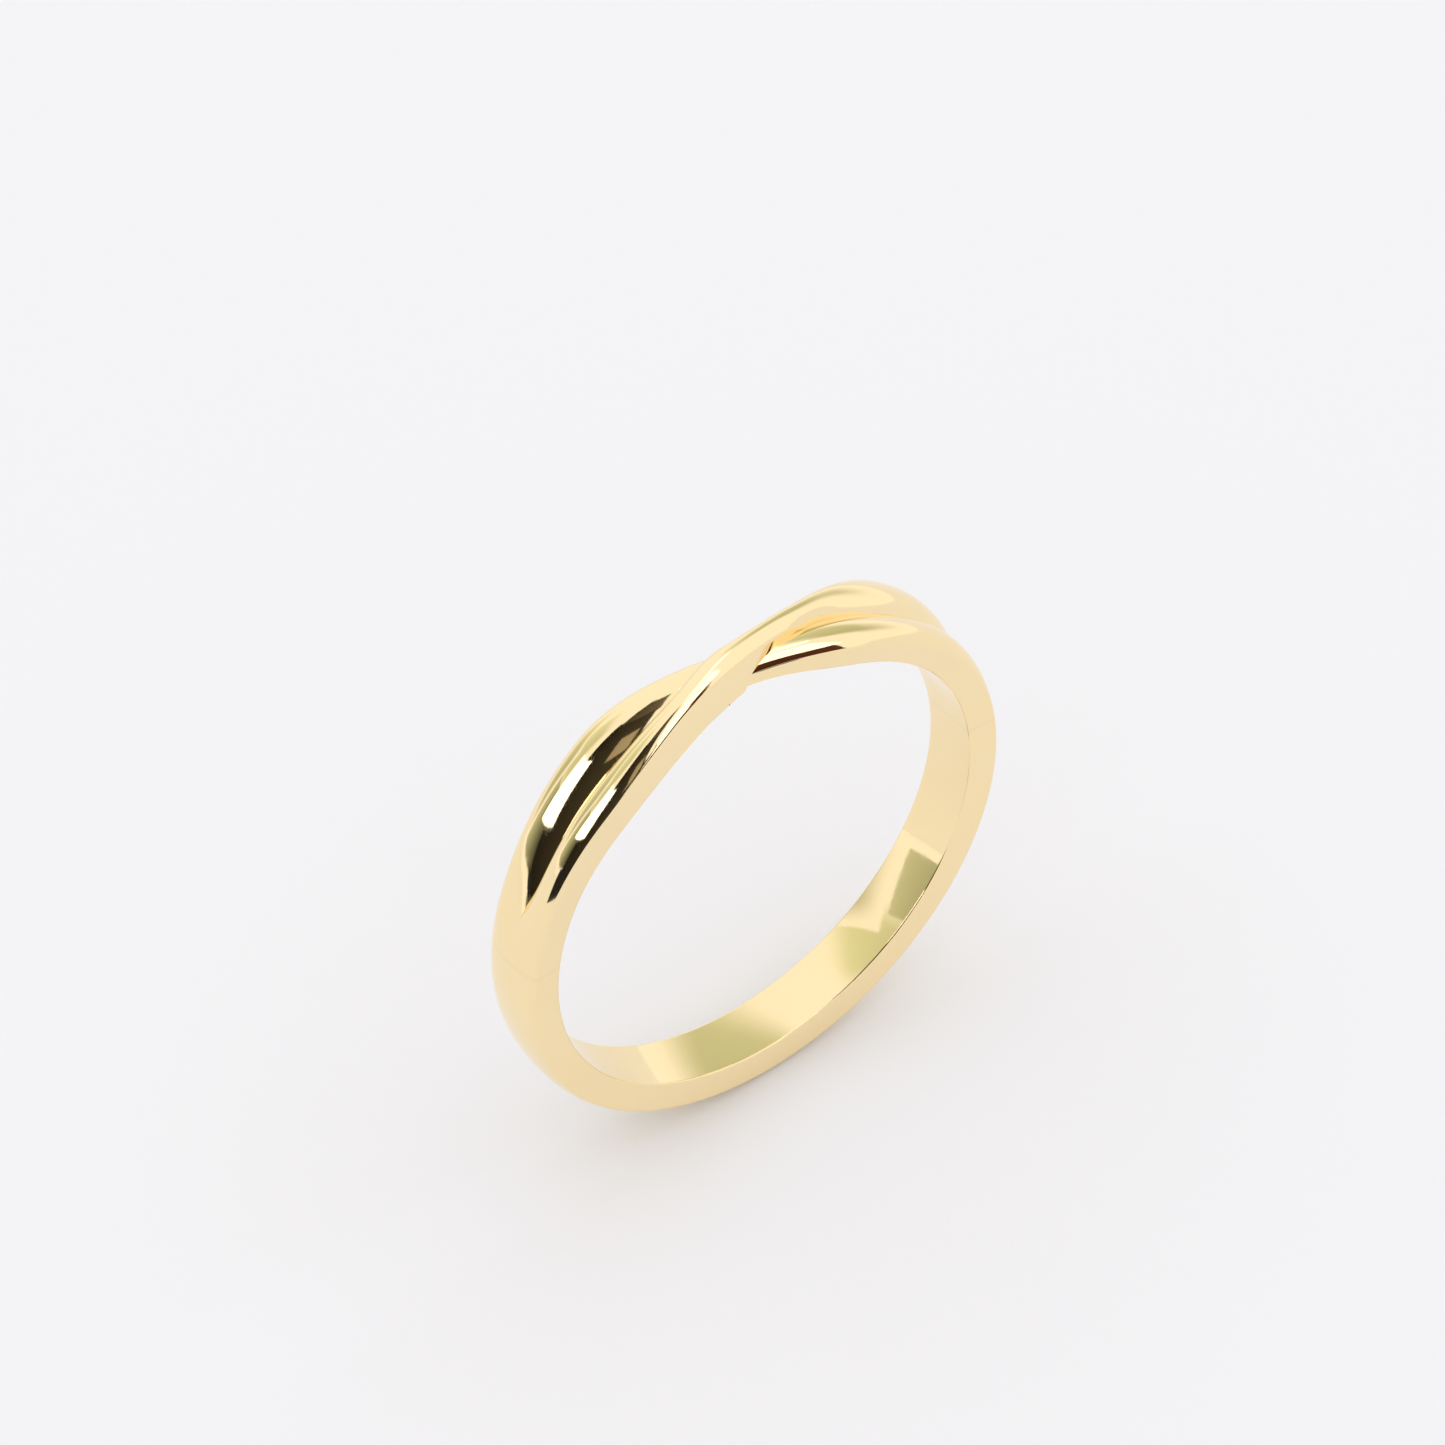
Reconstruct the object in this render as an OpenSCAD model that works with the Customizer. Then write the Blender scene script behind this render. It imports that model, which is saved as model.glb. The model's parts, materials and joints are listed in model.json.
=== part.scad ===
// Crossover wedding band: two half-round strands cross on top and run into one plain shank.
// Frame: origin at the centre of the finger hole, Y along the finger, Z up through the crossing.
// Angles are measured round the finger from Z towards +X. Front is -Y and back is +Y.

/* [Finger hole] */
// Inside diameter of the ring
bore_d = 17; // [15:0.2:22]

/* [Shank] */
// Width of the shank where it meets the finger
shank_w = 2.1; // [1.8:0.02:2.4]
// Height of the shank's side walls above the finger
shank_wall = 1; // [0.8:0.02:1.1]
// Height of the shank's crown above the finger
shank_crown = 1.3; // [1.2:0.02:1.5]
// Half the angle over which the strands run before they join the shank
join_angle = 80; // [76:1:88]
// Thickness of each solder seam between the strands and the shank
seam_t = 0.12; // [0.08:0.01:0.2]

/* [Pair of strands] */
// How much wider the pair of strands is than the shank
swell_w = 0.5; // [0.2:0.02:0.7]
// How far each side wall leans out from foot to edge
lean = 0.26; // [0.1:0.02:0.3]

/* [Over strand] */
// Height of its side walls above the finger
over_wall = 1.4; // [1.3:0.02:1.5]
// Rise of its dome above its edges at the crossing
over_dome = 0.5; // [0.3:0.02:0.6]
// Angle where its front side starts to leave the band's front edge
over_from = -43; // [-48:1:-40]
// Angle where its front side has crossed over
over_to = 25; // [22:1:28]
// How far it reaches under its neighbour beyond the crossing
over_tongue = 0.15; // [0.1:0.01:0.2]
// Height of its underside at the crossing
over_lift = 0.5; // [0.4:0.02:0.6]

/* [Under strand] */
// Height of its side walls above the finger
under_wall = 0.86; // [0.76:0.02:0.96]
// Rise of its dome above its edges
under_dome = 1; // [0.8:0.02:1.1]
// Angle where its front side starts to swing out
under_from = -9; // [-12:1:-8]
// Angle where its front side has reached the band's front edge
under_to = 22; // [20:1:28]
// How far it reaches under its neighbour
under_tongue = 0.42; // [0.38:0.01:0.46]

/* [Smoothness] */
// Angle between two cross-sections of a strand
ring_step = 2.5; // [2, 2.5, 4, 5]
// Number of flats across a strand's dome
dome_flats = 8; // [6:1:12]

/* [Hidden] */

bore_r = bore_d / 2;
gold = [0.93, 0.78, 0.42];
seam_gold = [0.86, 0.70, 0.36];
seam_angle = seam_t / bore_r * 180 / PI;
strand_end = join_angle - seam_angle;

// The strands are swept from inside the finger hole, and the hole is then cut through them.
over_depth = 0.6;
under_depth = 0.35;
hole_length = 12;
// The cut for the notch runs this many degrees past the under strand's ends.
notch_overrun = 1;
// Flats round the finger hole and the shank
round_flats = 180;

// The strands narrow from the first of these angles on and flatten into the shank from the second on.
swell_start = 22;
merge_start = 42;

// The strands' back sides swing a little otherwise. These are their angles as seen from behind.
over_back_span = [-40, 5];
under_back_to = 36;

// The over strand's side walls stand straight from this angle on and sink below its neighbour in this span.
upright_from = -10;
sink_span = [6, 22];
// Its underside rises in the first span and comes down in the second.
rise_span = [-8, -1];
fall_span = [8, 16];
// Its dome slopes to the edge before the first span and falls steeply to its tucked side after the second.
slope_span = [-38, -16];
tuck_span = [10, 36];
// Before the crossing its back side stops short of its neighbour by this much.
over_gap = 0.25;

// How a dome leaves an edge: inwards along the finger, or inwards and upwards
dome_in = 0.25;
under_in = 0.4;
slope_pull = [0.6, 0.42];
tuck_pull = [0.05, 1.3];
under_tuck_rise = 0.6;
// Height of the hidden edges, where one strand tucks beneath the other
tuck_wall = 0.4;
// The side walls lean at least this much, tucked ends too.
least_lean = 0.05;

// A smooth step from 0 where the span begins to 1 where it ends
function ease(span, v) = let (t = min(1, max(0, (v - span[0]) / (span[1] - span[0])))) t * t * (3 - 2 * t);
function mix(a, b, t) = a + (b - a) * t;
// Turns [distance along the finger, height above the finger] at an angle into a point in space
function at(angle, p) = let (r = bore_r + p.y) [r * sin(angle), p.x, r * cos(angle)];
// A point on the cubic curve with the four control points c
function bezier(c, t) =
    pow(1 - t, 3) * c[0] + 3 * pow(1 - t, 2) * t * c[1] + 3 * (1 - t) * t * t * c[2] + pow(t, 3) * c[3];
function flipped(p) = [-p.x, p.y];
// Reflects a cross-section front to back and keeps the direction in which its points run
function turned(section) = [for (i = [len(section) - 1:-1:0]) flipped(section[i])];

// Half of the band's width at an angle, where it meets the finger
function half_w(angle) =
    shank_w / 2 + swell_w / 2 * (1 - ease([swell_start, strand_end], abs(angle)));

// The shank's crown, from its front edge at t = 0 to its back edge at t = 1
// Half way along, a cubic curve has risen by three quarters of its inner control points' rise.
shank_lean = 0.17;
curve_rise = 3 / 4;
shank_edge = [-shank_w / 2 - shank_lean, shank_wall];
shank_inner = shank_edge + [dome_in, (shank_crown - shank_wall) / curve_rise];
shank_curve = [shank_edge, shank_inner, flipped(shank_inner), flipped(shank_edge)];

// The foot of a side wall at a height, on the straight line down from its edge
function foot_at(y, out, wall, height) = [y - out * height / wall, height];

// One side of a strand at an angle: its foot, the edge where its dome starts, and the dome's pull from there
// The back side at an angle is described as the front side at the opposite angle, seen from behind.
function over_side(angle, span, tuck) =
    let (
        y = mix(-half_w(angle), -mix(over_tongue, tuck, ease(tuck_span, angle)), ease(span, angle)),
        out = mix(lean, least_lean, ease([span[0], upright_from], angle)),
        seen = 1 - ease(sink_span, angle),
        wall = mix(tuck_wall, over_wall, seen),
        lifted = ease(rise_span, angle) * (1 - ease(fall_span, angle)),
        slopes = 1 - ease(slope_span, angle),
        pull_in = mix(mix(dome_in, slope_pull.x, slopes), tuck_pull.x, ease(tuck_span, angle)),
        pull_up = mix(mix(tuck_pull.y, over_dome, seen), slope_pull.y, slopes)
    )
    [foot_at(y, out, wall, mix(-over_depth, over_lift, lifted)), [y - out, wall], [pull_in, pull_up]];

// The same for the under strand, whose side swings out between under_from and to
function under_side(angle, to, pull_in) =
    let (
        swung = ease([under_from, to], angle),
        y = mix(-under_tongue, -half_w(angle), swung),
        out = mix(least_lean, lean, swung),
        wall = mix(tuck_wall, under_wall, swung)
    )
    [foot_at(y, out, wall, -under_depth), [y - out, wall],
     [mix(dome_in, pull_in, swung), mix(under_tuck_rise, under_dome, swung)]];

// A strand's cross-section from its two sides
function strand_section(front, back) =
    let (curve = [front[1], front[1] + front[2], flipped(back[1] + back[2]), flipped(back[1])])
    concat([front[0]], [for (i = [0:dome_flats]) bezier(curve, i / dome_flats)], [flipped(back[0])]);

// The front half of the shank, with as many points as a strand, its inner side at y = inner
function half_shank(inner, depth) =
    concat(
        [foot_at(-shank_w / 2, shank_lean, shank_wall, -depth)],
        [for (i = [0:dome_flats]) bezier(shank_curve, i / dome_flats / 2)],
        [[inner, -depth]]
    );

function blend(a, b, t) = [for (i = [0:len(a) - 1]) mix(a[i], b[i], t)];
function merged(angle) = ease([merge_start, strand_end], abs(angle));

function over_section(angle) =
    let (
        front = over_side(angle, [over_from, over_to], over_tongue),
        back = over_side(-angle, over_back_span, -over_gap),
        half = half_shank(0, over_depth)
    )
    blend(strand_section(front, back), angle < 0 ? half : turned(half), merged(angle));

function under_section(angle) =
    let (
        front = under_side(angle, under_to, under_in),
        back = under_side(-angle, under_back_to, dome_in),
        half = half_shank(under_tongue, under_depth)
    )
    blend(strand_section(front, back), angle > 0 ? half : turned(half), merged(angle));

// A solid skinned over a row of cross-sections that have the same number of points
// Each end is closed by two faces: one between the side walls and one under the dome.
module skin(sections) {
    n = len(sections[0]);
    last = (len(sections) - 1) * n;
    polyhedron(
        points = [for (s = sections) each s],
        faces = concat(
            [[n - 1, n - 2, 1, 0], [for (j = [n - 2:-1:1]) j]],
            [[last, last + 1, last + n - 2, last + n - 1], [for (j = [1:n - 2]) last + j]],
            [for (i = [0:len(sections) - 2], j = [0:n - 1])
                let (a = i * n + j, b = i * n + (j + 1) % n) each [[a, b, a + n], [b, b + n, a + n]]]
        )
    );
}

// Angles from -end to end, one ring_step apart but for the first and the last step
function angles(end) = let (n = ceil(end / ring_step) - 1) [-end, for (i = [-n:n]) i * ring_step, end];

module over_wire(extra = 0) {
    skin([for (a = angles(strand_end + extra)) [for (p = over_section(a)) at(a, p)]]);
}

module under_wire() {
    skin([for (a = angles(strand_end)) [for (p = under_section(a)) at(a, p)]]);
}

module finger_hole() {
    rotate([90, 0, 0])
        cylinder(r = bore_r, h = hole_length, center = true, $fn = round_flats);
}

// A stretch of plain shank between two angles
module shank_arc(from, to) {
    profile = concat(
        [[bore_r, -shank_w / 2]],
        [for (i = [0:2 * dome_flats]) let (p = bezier(shank_curve, i / dome_flats / 2)) [bore_r + p.y, p.x]],
        [[bore_r, shank_w / 2]]
    );
    rotate([90, 0, 0])
        rotate_extrude(angle = to - from, start = 90 - to, $fn = round_flats)
            polygon(profile);
}

module over_strand() {
    color(gold)
        difference() {
            over_wire();
            finger_hole();
        }
}

// The under strand is notched where the over strand lies across it and beside it.
module under_strand() {
    color(gold)
        difference() {
            under_wire();
            over_wire(notch_overrun);
            finger_hole();
        }
}

module back_shank() {
    color(gold)
        shank_arc(join_angle, 360 - join_angle);
}

module left_solder_seam() {
    color(seam_gold)
        shank_arc(-join_angle, -strand_end);
}

module right_solder_seam() {
    color(seam_gold)
        shank_arc(strand_end, join_angle);
}

over_strand();
under_strand();
back_shank();
left_solder_seam();
right_solder_seam();
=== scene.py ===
"""Looks of a crossover wedding band: two half-round gold strands that cross on top of a plain shank.

The band stands upright on a pale floor. Lengths are in millimetres until a mesh is made.
Angles run round the finger from +Z towards +X, in degrees, as in the CAD model.
"""

import json
import math

import bmesh
import bpy
import numpy as np
from mathutils import Matrix, Vector


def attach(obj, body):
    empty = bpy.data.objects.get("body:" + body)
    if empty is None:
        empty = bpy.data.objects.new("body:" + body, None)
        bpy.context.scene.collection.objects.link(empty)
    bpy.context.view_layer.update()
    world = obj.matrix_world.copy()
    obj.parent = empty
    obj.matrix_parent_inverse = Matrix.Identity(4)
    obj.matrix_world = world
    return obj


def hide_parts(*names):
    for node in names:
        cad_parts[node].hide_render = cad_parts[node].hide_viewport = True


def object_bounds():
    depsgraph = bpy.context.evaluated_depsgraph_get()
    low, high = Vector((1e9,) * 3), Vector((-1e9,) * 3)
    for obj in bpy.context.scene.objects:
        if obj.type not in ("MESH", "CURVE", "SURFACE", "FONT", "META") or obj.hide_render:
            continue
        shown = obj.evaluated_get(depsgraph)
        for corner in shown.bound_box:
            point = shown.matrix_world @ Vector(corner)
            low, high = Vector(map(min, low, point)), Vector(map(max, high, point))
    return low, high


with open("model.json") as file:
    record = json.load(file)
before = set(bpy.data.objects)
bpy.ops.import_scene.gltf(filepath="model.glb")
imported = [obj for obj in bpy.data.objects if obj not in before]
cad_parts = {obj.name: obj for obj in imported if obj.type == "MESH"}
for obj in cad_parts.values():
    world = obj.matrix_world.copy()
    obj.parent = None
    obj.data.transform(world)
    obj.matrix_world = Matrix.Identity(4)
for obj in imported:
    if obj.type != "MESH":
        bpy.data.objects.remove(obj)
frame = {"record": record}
CAD_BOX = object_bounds()

MM = 0.001

# The band's dimensions
BORE_R = frame["record"]["mounts"][0]["dims"]["r_mm"]
SHANK_W, SHANK_WALL, SHANK_CROWN, SHANK_LEAN = 2.1, 1.0, 1.3, 0.17
# Half way along, a cubic curve has risen by this share of its inner control points' rise.
CURVE_RISE = 0.75
JOIN_ANGLE, SEAM_T = 80, 0.12
SWELL_W, LEAN, LEAST_LEAN = 0.5, 0.26, 0.05
OVER_WALL, OVER_DOME, OVER_TONGUE, OVER_LIFT = 1.4, 0.5, 0.15, 0.5
UNDER_WALL, UNDER_DOME, UNDER_TONGUE = 0.86, 1.0, 0.42
# The angles between which each strand's front side swings across, and its back side seen from behind
OVER_FRONT, OVER_BACK = (-43, 25), (-40, 5)
UNDER_FRONT, UNDER_BACK = (-9, 22), (-9, 36)
# The strands narrow from the first angle on and flatten into the shank from the second on.
SWELL_START, MERGE_START = 22, 42
# Height of the hidden edges, where one strand tucks beneath the other
TUCK_WALL = 0.4
# Depth of the side walls' feet below the finger hole's surface
OVER_SUNK, UNDER_SUNK = 0.6, 0.35
# How far inwards a dome leaves its edge
DOME_PULL_IN, UNDER_FRONT_IN = 0.25, 0.4
# Before the crossing the over strand's dome slopes to the band's edge from a ridge beside the groove.
OVER_SLOPING, OVER_SLOPE_IN, OVER_SLOPE_UP = (-38, -16), 0.6, 0.42
# Beyond the crossing it falls steeply to its tucked side. Its back side stops short before the crossing.
OVER_TUCKING, OVER_TUCK_IN, OVER_TUCK_UP = (10, 36), 0.05, 1.3
OVER_SHORT_TONGUE = -0.25
UNDER_TUCK_UP = 0.6
# The over strand's side walls stand straight from the first angle on and sink below its neighbour in the
# second span. Its underside rises and comes down again in the last two.
UPRIGHT_FROM, SINKING, RISING, FALLING = -10, (6, 22), (-8, -1), (8, 16)
STRAND_END = JOIN_ANGLE - math.degrees(SEAM_T / BORE_R)
# The cut for the notch runs this many degrees past the under strand's ends.
NOTCH_OVERRUN = 1

# Polishing has eased every edge by about this much, but for those that lie hidden between the strands.
# The over strand's edges at the finger hole are eased no further than HEEL_END, before its underside rises.
EDGE_EASE, BORE_EASE = 0.07, 0.06
HIDDEN_FROM, HEEL_END = (24, 34), (-14, -9)

# Fineness of the meshes. The rungs are rows of points on a side wall, as shares of the way up.
RING_STEP = 0.25
DOME_FLATS = 56
EDGE_FLATS = 5
WALL_RUNGS = (0.06, 0.35, 0.65, 0.94)
# Points closer than WELD are joined, and edges that turn by more than CREASE_ANGLE stay sharp.
WELD, CREASE_ANGLE = 1e-4, 30


def ease(a, b, v):
    """A smooth step from 0 where v is a to 1 where it is b."""
    t = min(1.0, max(0.0, (v - a) / (b - a)))
    return t * t * (3 - 2 * t)


def mix(a, b, t):
    """The value a share t of the way from a to b."""
    return a + (b - a) * t


def bezier(points, t):
    """Points at t on the curve whose two, three or four control points are given."""
    t = np.atleast_1d(np.asarray(t, float))[:, None]
    points = [np.asarray(p, float)[None, :] for p in points]
    while len(points) > 1:
        points = [p * (1 - t) + q * t for p, q in zip(points, points[1:])]
    return points[0]


def half_width(angle):
    """Half of the band's width at an angle, where it meets the finger."""
    return SHANK_W / 2 + SWELL_W / 2 * (1 - ease(SWELL_START, STRAND_END, abs(angle)))


def side(y, out, foot, wall, pull_in, pull_up):
    """One side of a strand: its foot, the edge where its dome starts, and the dome's pull from there."""
    return {
        "foot": np.array([y - out * foot / wall, foot]),
        "edge": np.array([y - out, wall]),
        "pull": np.array([pull_in, pull_up]),
    }


def over_side(angle, swing, tuck):
    """One side of the over strand. Its back side is given as seen from behind, at the opposite angle."""
    tongue = mix(OVER_TONGUE, tuck, ease(*OVER_TUCKING, angle))
    y = mix(-half_width(angle), -tongue, ease(*swing, angle))
    seen = 1 - ease(*SINKING, angle)
    lifted = ease(*RISING, angle) * (1 - ease(*FALLING, angle))
    out = mix(LEAST_LEAN, LEAN, 1 - ease(swing[0], UPRIGHT_FROM, angle))
    foot = mix(-OVER_SUNK, OVER_LIFT, lifted)
    sloping = 1 - ease(*OVER_SLOPING, angle)
    pull_in = mix(mix(DOME_PULL_IN, OVER_SLOPE_IN, sloping), OVER_TUCK_IN, ease(*OVER_TUCKING, angle))
    pull_up = mix(mix(OVER_TUCK_UP, OVER_DOME, seen), OVER_SLOPE_UP, sloping)
    return side(y, out, foot, mix(TUCK_WALL, OVER_WALL, seen), pull_in, pull_up)


def under_side(angle, swing, pull_in):
    """One side of the under strand, described in the same way."""
    out = ease(*swing, angle)
    y = mix(-UNDER_TONGUE, -half_width(angle), out)
    wall = mix(TUCK_WALL, UNDER_WALL, out)
    pull_in, pull_up = mix(DOME_PULL_IN, pull_in, out), mix(UNDER_TUCK_UP, UNDER_DOME, out)
    return side(y, mix(LEAST_LEAN, LEAN, out), -UNDER_SUNK, wall, pull_in, pull_up)


def flipped(point):
    """The point reflected front to back."""
    return np.array([-point[0], point[1]])


def shank_curve():
    """Control points of the shank's crown, from its front edge to its back edge."""
    edge = SHANK_W / 2 + SHANK_LEAN
    rise = SHANK_WALL + (SHANK_CROWN - SHANK_WALL) / CURVE_RISE
    front = [np.array([-edge, SHANK_WALL]), np.array([DOME_PULL_IN - edge, rise])]
    return front + [flipped(p) for p in reversed(front)]


def outline(front_foot, dome, back_foot, eases, heels=None):
    """A cross-section's points from its front foot over the dome to its back foot.

    Each side wall is straight. The edges where the walls meet the dome are eased by the front and back
    amounts in eases. The walls run on below the finger hole's surface, or with heels they end there, with
    edges eased by those amounts.
    """
    walls = []
    sides = ((front_foot, dome[0], dome[1]), (back_foot, dome[-1], dome[-2]))
    for (foot, corner, along), eased, size in zip(sides, eases, heels or (0, 0)):
        down = (foot - corner) / np.linalg.norm(foot - corner)
        inward = (along - corner) / np.linalg.norm(along - corner)
        start = corner + down * eased
        stop = corner + inward * eased
        edge = bezier([start, corner, stop], np.linspace(0, 1, EDGE_FLATS + 1))
        if heels is None:
            base = [foot]
        else:
            at_bore = corner + down * corner[1] / -down[1] if foot[1] < 0 else foot
            heel = at_bore + np.array([math.copysign(size, -at_bore[0]), 0])
            top = at_bore - down * size
            base = list(bezier([heel, at_bore, top], np.linspace(0, 1, EDGE_FLATS)))
            base += [mix(top, start, share) for share in WALL_RUNGS]
        walls.append((base, edge))
    inner = dome_between(dome, eases)
    (base_f, edge_f), (base_b, edge_b) = walls
    return np.vstack([base_f, edge_f, inner, edge_b[::-1], base_b[::-1]])


def dome_between(dome, margins):
    """The dome's own points, without the stretches at its front and back that easing its edges takes away."""
    gaps = np.linalg.norm(np.diff(dome, axis=0), axis=1)
    run = np.concatenate([[0], np.cumsum(gaps)])
    wanted = np.linspace(margins[0], run[-1] - margins[1], DOME_FLATS + 1)[1:-1]
    return np.stack([np.interp(wanted, run, dome[:, k]) for k in range(2)], axis=1)


def strand_parts(front, back):
    """Front foot, dome points and back foot of a strand made from its two sides."""
    control = [
        front["edge"],
        front["edge"] + front["pull"],
        flipped(back["edge"] + back["pull"]),
        flipped(back["edge"]),
    ]
    return front["foot"], bezier(control, np.linspace(0, 1, 2 * DOME_FLATS + 1)), flipped(back["foot"])


def half_shank_parts(inner, depth, behind):
    """One half of the shank, with its inner side at y = inner, in front of the middle or behind it."""
    foot = np.array([-SHANK_W / 2 + SHANK_LEAN * depth / SHANK_WALL, -depth])
    dome = bezier(shank_curve(), np.linspace(0, 0.5, 2 * DOME_FLATS + 1))
    inside = np.array([inner, -depth])
    if not behind:
        return foot, dome, inside
    mirror = np.array([-1, 1])
    return inside * mirror, dome[::-1] * mirror, foot * mirror


def strand_section(angle, over, sunk):
    """A strand's cross-section at an angle, running on below the finger hole's surface if it is sunk."""
    tongue, depth = (0, OVER_SUNK) if over else (UNDER_TONGUE, UNDER_SUNK)
    if over:
        front = over_side(angle, OVER_FRONT, OVER_TONGUE)
        own = strand_parts(front, over_side(-angle, OVER_BACK, OVER_SHORT_TONGUE))
    else:
        front = under_side(angle, UNDER_FRONT, UNDER_FRONT_IN)
        own = strand_parts(front, under_side(-angle, UNDER_BACK, DOME_PULL_IN))
    behind = angle > 0 if over else angle < 0
    half = half_shank_parts(tongue, depth, behind)
    t = ease(MERGE_START, STRAND_END, abs(angle))
    front_foot, dome, back_foot = (mix(a, b, t) for a, b in zip(own, half))
    turned_in = angle if over else -angle
    eases = [EDGE_EASE * (1 - ease(*HIDDEN_FROM, a)) for a in (turned_in, -turned_in)]
    if sunk:
        return outline(front_foot, dome, back_foot, eases)
    heels = [BORE_EASE * (1 - ease(*HEEL_END, a)) if over else BORE_EASE for a in (angle, -angle)]
    points = outline(front_foot, dome, back_foot, eases, heels)
    rise = front_foot[1] - back_foot[1]
    crosses = front_foot[1] * back_foot[1] < 0
    knee = mix(back_foot, front_foot, -back_foot[1] / rise) if crosses else (points[0] + points[-1]) / 2
    return np.vstack([points, knee])


def shank_section():
    """The plain shank's cross-section."""
    dome = bezier(shank_curve(), np.linspace(0, 1, 2 * DOME_FLATS + 1))
    depth = OVER_SUNK
    foot = np.array([-SHANK_W / 2 + SHANK_LEAN * depth / SHANK_WALL, -depth])
    return outline(foot, dome, flipped(foot), (EDGE_EASE, EDGE_EASE), (BORE_EASE, BORE_EASE))


def swept_mesh(name, angles, sections):
    """A closed mesh in metres, skinned over cross-sections that stand round the finger."""
    rings = len(sections)
    count = len(sections[0])
    radians = np.radians(angles)[:, None]
    y = np.array([s[:, 0] for s in sections])
    r = BORE_R + np.array([s[:, 1] for s in sections])
    points = np.stack([r * np.sin(radians), y, r * np.cos(radians)], axis=-1).reshape(-1, 3) * MM
    faces = [tuple(reversed(range(count))), tuple(range((rings - 1) * count, rings * count))]
    for i in range(rings - 1):
        for j in range(count):
            a = i * count + j
            b = i * count + (j + 1) % count
            faces.append((a, b, b + count, a + count))
    mesh = bpy.data.meshes.new(name)
    mesh.from_pydata(points.tolist(), [], faces)
    bm = bmesh.new()
    bm.from_mesh(mesh)
    bmesh.ops.remove_doubles(bm, verts=bm.verts, dist=WELD * MM)
    bmesh.ops.recalc_face_normals(bm, faces=bm.faces)
    bm.to_mesh(mesh)
    bm.free()
    return mesh


def add_object(name, mesh):
    """An object with this mesh, linked to the scene."""
    obj = bpy.data.objects.new(name, mesh)
    bpy.context.scene.collection.objects.link(obj)
    return obj


def ring_angles(start, stop):
    """Angles from start to stop in equal steps of about RING_STEP."""
    return np.linspace(start, stop, max(2, round((stop - start) / RING_STEP) + 1))


def strand(name, over, sunk=False, reach=STRAND_END):
    """The over or the under strand, from -reach to reach."""
    angles = ring_angles(-reach, reach)
    return add_object(name, swept_mesh(name, angles, [strand_section(a, over, sunk) for a in angles]))


def shank_arc(name, start, stop):
    """A stretch of plain shank between two angles."""
    angles = ring_angles(start, stop)
    section = shank_section()
    return add_object(name, swept_mesh(name, angles, [section] * len(angles)))


def cut(obj, cutter):
    """Takes the cutter's volume out of obj, and then the cutter itself out of the scene."""
    modifier = obj.modifiers.new("notch", "BOOLEAN")
    modifier.operation, modifier.solver, modifier.object = "DIFFERENCE", "EXACT", cutter
    evaluated = obj.evaluated_get(bpy.context.evaluated_depsgraph_get())
    mesh = bpy.data.meshes.new_from_object(evaluated)
    obj.modifiers.clear()
    obj.data = mesh
    bpy.data.objects.remove(cutter)


def smooth(obj):
    """Shades a mesh smooth, but for the edges that turn by more than the crease angle."""
    bm = bmesh.new()
    bm.from_mesh(obj.data)
    for face in bm.faces:
        face.smooth = True
    for edge in bm.edges:
        edge.smooth = edge.is_manifold and edge.calc_face_angle(0) < math.radians(CREASE_ANGLE)
    bm.to_mesh(obj.data)
    bm.free()


def gold(name, pale, deep):
    """Polished gold: its colour shifts a little between pale and deep, with fine polishing marks."""
    material = bpy.data.materials.new(name)
    material.use_nodes = True
    nodes, links = material.node_tree.nodes, material.node_tree.links
    shader = nodes["Principled BSDF"]
    shader.inputs["Metallic"].default_value = 1.0
    place = nodes.new("ShaderNodeTexCoord")

    clouds = nodes.new("ShaderNodeTexNoise")
    clouds.inputs["Scale"].default_value = 260
    clouds.inputs["Detail"].default_value = 3
    links.new(place.outputs["Object"], clouds.inputs["Vector"])
    tint = nodes.new("ShaderNodeMix")
    tint.data_type = "RGBA"
    tint.inputs["A"].default_value = (*pale, 1)
    tint.inputs["B"].default_value = (*deep, 1)
    links.new(clouds.outputs["Fac"], tint.inputs["Factor"])
    links.new(tint.outputs["Result"], shader.inputs["Base Color"])

    marks = nodes.new("ShaderNodeTexNoise")
    marks.inputs["Scale"].default_value = 2600
    marks.inputs["Detail"].default_value = 6
    marks.inputs["Roughness"].default_value = 0.65
    links.new(place.outputs["Object"], marks.inputs["Vector"])
    haze = nodes.new("ShaderNodeMapRange")
    haze.inputs["From Min"].default_value = 0.35
    haze.inputs["From Max"].default_value = 0.75
    haze.inputs["To Min"].default_value = 0.035
    haze.inputs["To Max"].default_value = 0.11
    links.new(marks.outputs["Fac"], haze.inputs["Value"])
    links.new(haze.outputs["Result"], shader.inputs["Roughness"])

    bump = nodes.new("ShaderNodeBump")
    bump.inputs["Strength"].default_value = 0.06
    bump.inputs["Distance"].default_value = 0.01 * MM
    links.new(marks.outputs["Fac"], bump.inputs["Height"])
    links.new(bump.outputs["Normal"], shader.inputs["Normal"])
    return material


def make_band():
    """The five pieces, each in the place of its CAD node."""
    over = strand("polished_over_strand", True)
    under = strand("polished_under_strand", False)
    cut(under, strand("notch_cutter", True, sunk=True, reach=STRAND_END + NOTCH_OVERRUN))
    back = shank_arc("polished_back_shank", JOIN_ANGLE, 360 - JOIN_ANGLE)
    left = shank_arc("polished_left_solder_seam", -JOIN_ANGLE, -STRAND_END)
    right = shank_arc("polished_right_solder_seam", STRAND_END, JOIN_ANGLE)
    yellow = gold("polished_gold", (1.0, 0.82, 0.50), (0.98, 0.79, 0.45))
    solder = gold("polished_solder", (0.97, 0.80, 0.50), (0.95, 0.77, 0.45))
    for piece, node in ((over, "over_strand"), (under, "under_strand"), (back, "back_shank"),
                        (left, "left_solder_seam"), (right, "right_solder_seam")):
        is_solder = "solder" in node
        smooth(piece)
        piece.data.materials.append(solder if is_solder else yellow)
        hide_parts(node)
        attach(piece, "root")


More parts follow.
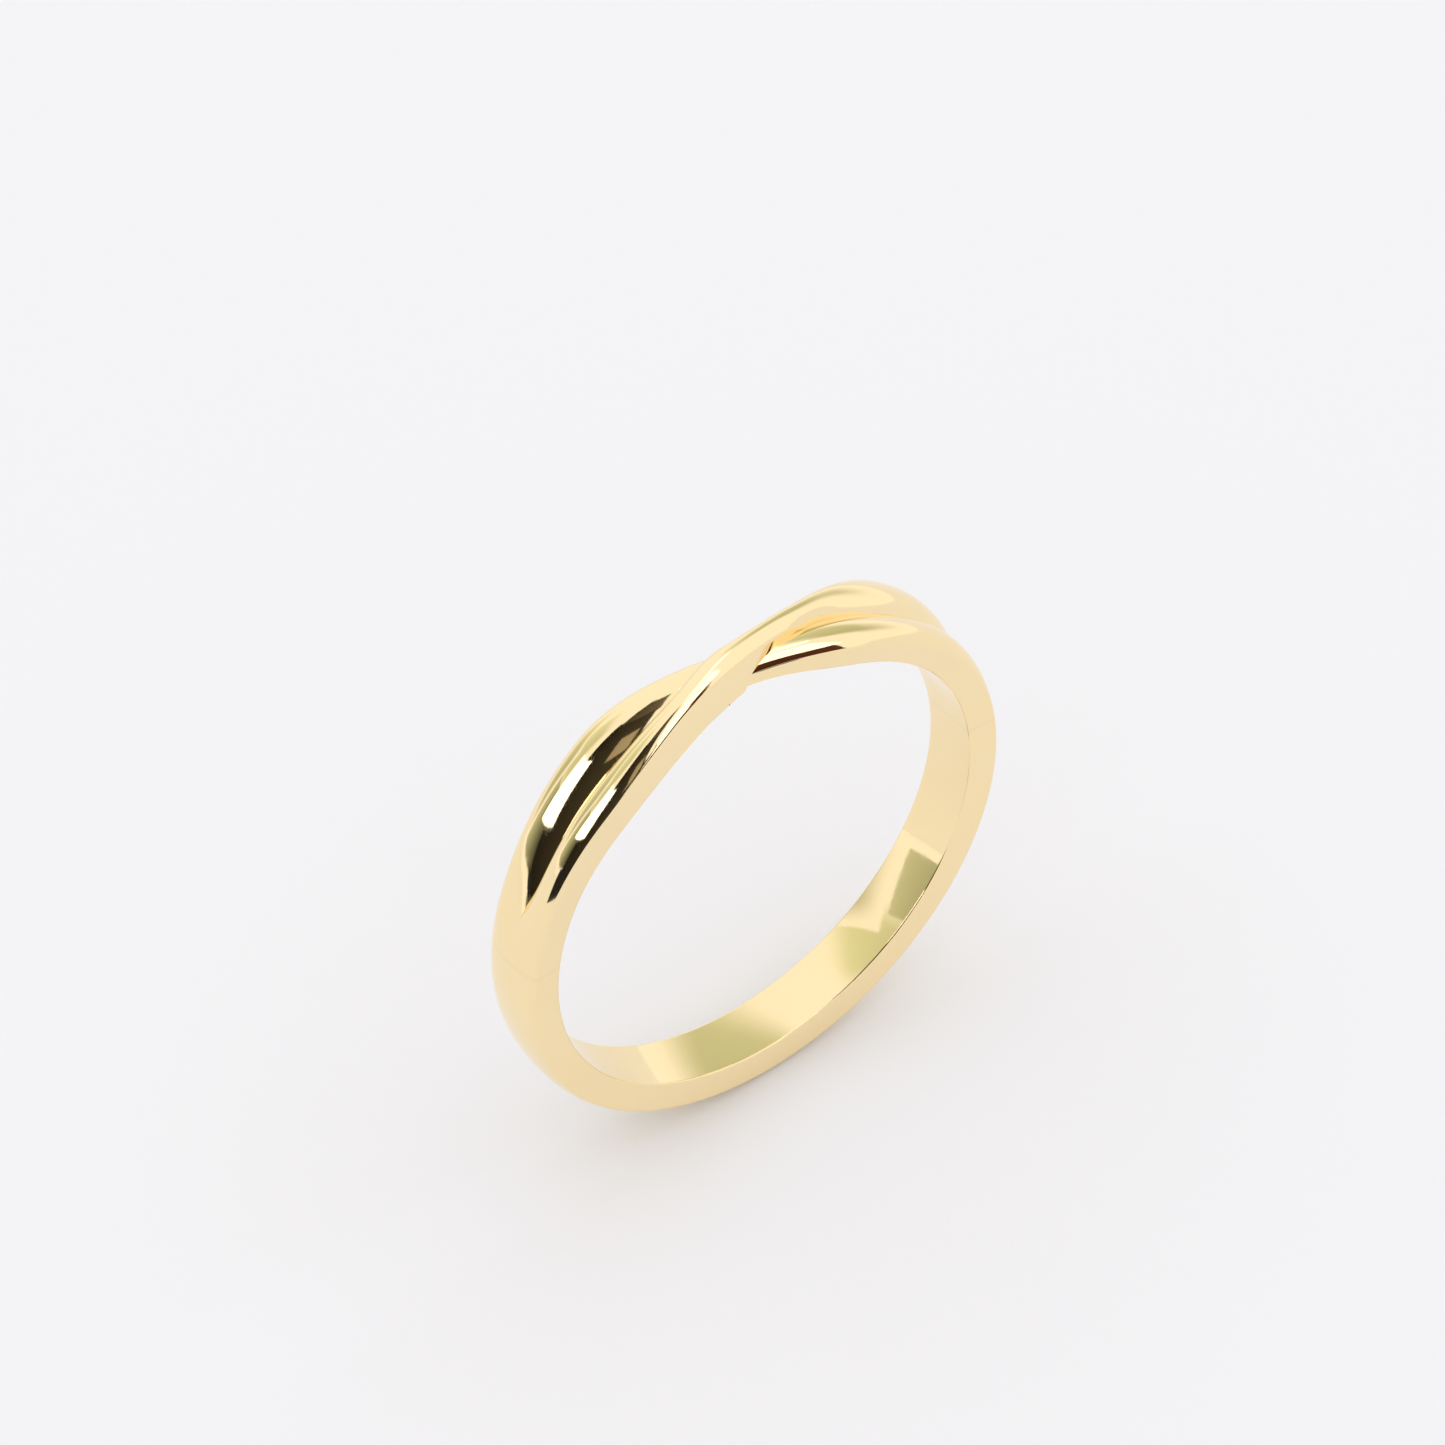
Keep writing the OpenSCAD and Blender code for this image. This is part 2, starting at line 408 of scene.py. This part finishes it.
# The camera: its direction, how far it stands off, how far it stands aside of the band's centre, and its lens
CAM_AZIMUTH, CAM_ELEVATION, CAM_ROLL = 36.28, 44.46, -1.48
CAM_DISTANCE, CAM_ASIDE, CAM_ABOVE = 99.47 * MM, -0.99 * MM, 4.49 * MM
CAM_LENS = 75.3


def make_camera():
    """The camera at the photograph's viewing angle."""
    azimuth, elevation = math.radians(CAM_AZIMUTH), math.radians(CAM_ELEVATION)
    ahead = Vector((math.cos(elevation) * math.sin(azimuth), math.cos(elevation) * math.cos(azimuth),
                    -math.sin(elevation)))
    right = Vector((math.cos(azimuth), -math.sin(azimuth), 0))
    tilt = Matrix.Rotation(-math.radians(CAM_ROLL), 3, ahead)
    right, up = tilt @ right, tilt @ right.cross(ahead)
    camera = bpy.data.objects.new("camera", bpy.data.cameras.new("camera"))
    camera.data.lens = CAM_LENS
    camera.data.clip_start = 1 * MM
    camera.data.clip_end = 10
    turned = Matrix((right, up, -ahead)).transposed().to_4x4()
    stand = right * CAM_ASIDE + up * CAM_ABOVE - ahead * CAM_DISTANCE
    camera.matrix_world = Matrix.Translation(stand) @ turned
    bpy.context.scene.collection.objects.link(camera)
    bpy.context.scene.camera = camera


def plain_material(name, color, roughness):
    """A matt material of one colour."""
    material = bpy.data.materials.new(name)
    material.use_nodes = True
    shader = material.node_tree.nodes["Principled BSDF"]
    shader.inputs["Base Color"].default_value = (*color, 1)
    shader.inputs["Roughness"].default_value = roughness
    return material


def make_floor():
    """The pale floor that the band stands on."""
    level = CAD_BOX[0].z
    mesh = bpy.data.meshes.new("floor")
    reach = 3
    corners = [(x * reach, y * reach, level) for x, y in ((-1, -1), (1, -1), (1, 1), (-1, 1))]
    mesh.from_pydata(corners, [], [(0, 1, 2, 3)])
    floor = add_object("floor", mesh)
    mesh.materials.append(plain_material("pale_floor", (0.86, 0.86, 0.89), 0.8))


# What the polished metal mirrors besides the floor, as on a photographer's table: a dark room with a window
# on the camera's side, dim walls left and right, white all over elsewhere. Azimuths run from +Y towards +X.
# Two cards stand close to the band, so that what they cover depends on where in the metal it is seen.
# Each row: azimuths, elevations, distance in metres, brightness at both azimuths, tint, softness of border
AIR, AIR_GLOW = (1.0, 0.99, 0.98), 1.05
NEUTRAL, WARM, OLIVE, RED = (1.0, 1.0, 1.0), (1.0, 0.84, 0.6), (0.95, 1.0, 0.72), (1.0, 0.35, 0.2)
CARDS = {
    "window": ((-107, -76), (19, 47), 0.36, (2.4, 2.4), NEUTRAL, 0),
    "second_window": ((152, 192), (30, 63), 0.37, (1.8, 1.8), NEUTRAL, 0),
    "roof_window": ((96, 186), (70, 82), 0.37, (1.8, 1.8), NEUTRAL, 0),
    "camera_hand": ((-147, -130), (42, 54), 0.36, (0.42, 0.36), WARM, 0),
    "dark_room": ((-152, -94), (-2, 66), 0.40, (0.06, 0.015), WARM, 0),
    "dark_ceiling": ((-156, -100), (64, 80), 0.41, (0.14, 0.06), WARM, 0),
    "dark_doorway": ((-172, -150), (-2, 48), 0.39, (0.03, 0.05), WARM, 0),
    "dark_table": ((-178, -90), (-3, 10), 0.044, (0.02, 0.02), NEUTRAL, 0),
    "red_edge": ((157, 192), (15, 39), 0.044, (0.10, 0.06), RED, 0),
    "left_corner": ((-96, -56), (4, 32), 0.42, (0.04, 0.62), OLIVE, 0),
    "left_wall": ((-54, 0), (-2, 40), 0.41, (0.34, 0.95), OLIVE, 0.3),
    "upper_left_wall": ((-84, -24), (26, 66), 0.43, (0.55, 0.90), OLIVE, 0.3),
    "right_wall": ((22, 108), (6, 78), 0.42, (0.72, 0.50), OLIVE, 0.3),
}


def border_fade(share, soft):
    """How much of a card's own colour shows at a share of the way across: none on a soft border."""
    return ease(0, soft, min(share, 1 - share)) if soft else 1.0


def glowing_material(name):
    """Light of the colour that a mesh's shade attribute gives at each point."""
    material = bpy.data.materials.new(name)
    material.use_nodes = True
    nodes, links = material.node_tree.nodes, material.node_tree.links
    nodes.clear()
    shade = nodes.new("ShaderNodeAttribute")
    shade.attribute_name = "shade"
    emission = nodes.new("ShaderNodeEmission")
    emission.inputs["Strength"].default_value = 1.0
    links.new(shade.outputs["Color"], emission.inputs["Color"])
    links.new(emission.outputs["Emission"], nodes.new("ShaderNodeOutputMaterial").inputs["Surface"])
    return material


def make_card(name, azimuths, elevations, distance, brightness, tint, soft):
    """Part of a sphere round the band, which shows in the metal's reflections alone."""
    columns, rows = 37, 19
    points = []
    colors = []
    for i in range(columns):
        across = i / (columns - 1)
        azimuth = math.radians(mix(*azimuths, across))
        for j in range(rows):
            upwards = j / (rows - 1)
            elevation = math.radians(mix(*elevations, upwards))
            out, up = distance * math.cos(elevation), distance * math.sin(elevation)
            points.append((out * math.sin(azimuth), out * math.cos(azimuth), up))
            fade = border_fade(across, soft) * border_fade(upwards, soft)
            glow = mix(*brightness, across)
            colors.append([mix(AIR_GLOW * air, glow * own, fade) for air, own in zip(AIR, tint)] + [1.0])
    starts = [i * rows + j for i in range(columns - 1) for j in range(rows - 1)]
    mesh = bpy.data.meshes.new(name)
    mesh.from_pydata(points, [], [(a, a + rows, a + rows + 1, a + 1) for a in starts])
    mesh.attributes.new("shade", "FLOAT_COLOR", "POINT").data.foreach_set("color", np.ravel(colors))
    mesh.materials.append(glowing_material(name))
    card = add_object(name, mesh)
    card.visible_camera = card.visible_diffuse = card.visible_shadow = False


def make_world():
    """Even white light from all round."""
    world = bpy.data.worlds.new("studio")
    world.use_nodes = True
    world.node_tree.nodes["Background"].inputs["Color"].default_value = (*AIR, 1)
    world.node_tree.nodes["Background"].inputs["Strength"].default_value = AIR_GLOW
    bpy.context.scene.world = world
    bpy.context.scene.view_settings.view_transform = "Standard"


make_band()
make_camera()
make_floor()
for card_name, card_facts in CARDS.items():
    make_card(card_name, *card_facts)
make_world()
